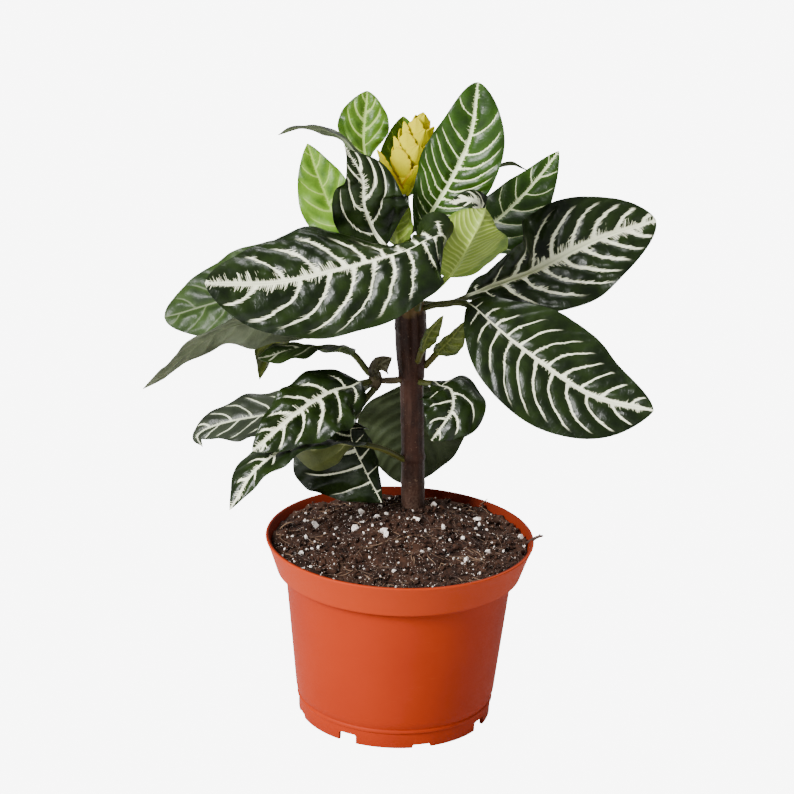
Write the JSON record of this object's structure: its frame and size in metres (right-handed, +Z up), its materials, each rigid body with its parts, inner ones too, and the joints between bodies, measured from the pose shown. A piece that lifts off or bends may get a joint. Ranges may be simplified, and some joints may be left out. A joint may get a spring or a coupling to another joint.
{
  "type": "potted zebra plant",
  "caption": "House plant with broad, white-veined leaves and a yellow spike of bracts on an upright stem, growing in soil in a round tapered pot.",
  "frame": {"origin": "centre of the pot's foot, on the surface that it stands on", "axes": "+Z up along the pot's axis, and the plant's front towards -Y"},
  "size_m": [0.2912, 0.1983, 0.368],
  "materials": {
    "pot": "satin terracotta-coloured plastic",
    "soil": "rough dark peat compost",
    "stem": "smooth maroon-brown bark, green at the top",
    "leaf": "glossy dark green with ivory veins",
    "young_leaf": "satin light green with yellow-green veins",
    "bract": "waxy bright yellow"
  },
  "bodies": {
    "root": {"pot": "pot", "soil": "soil", "stem": "stem", "flower_spike": "bract", "leaf_front_left": "leaf", "leaf_lower_right": "leaf", "leaf_right": "leaf", "leaf_top_right": "leaf", "leaf_back_right": "leaf", "leaf_back_thin": "leaf", "leaf_under_right": "young_leaf", "leaf_curl_right": "leaf", "leaf_left_young": "young_leaf", "leaf_top_young": "young_leaf", "leaf_thin_left": "leaf", "leaf_front_curly": "leaf", "leaf_behind_flower": "young_leaf", "leaf_front_young": "young_leaf", "leaf_back_left": "young_leaf", "leaf_long_left": "leaf", "leaf_hidden_left": "leaf", "leaf_shade_left": "leaf", "leaf_low_front": "leaf", "leaf_low_far_left": "leaf", "leaf_low_down_left": "leaf", "leaf_soil_left": "leaf", "leaf_low_back": "leaf", "leaf_low_right": "leaf", "leaf_axil_large": "young_leaf", "leaf_axil_small": "young_leaf", "leaf_bud_small": "leaf"}
  },
  "joints": []
}
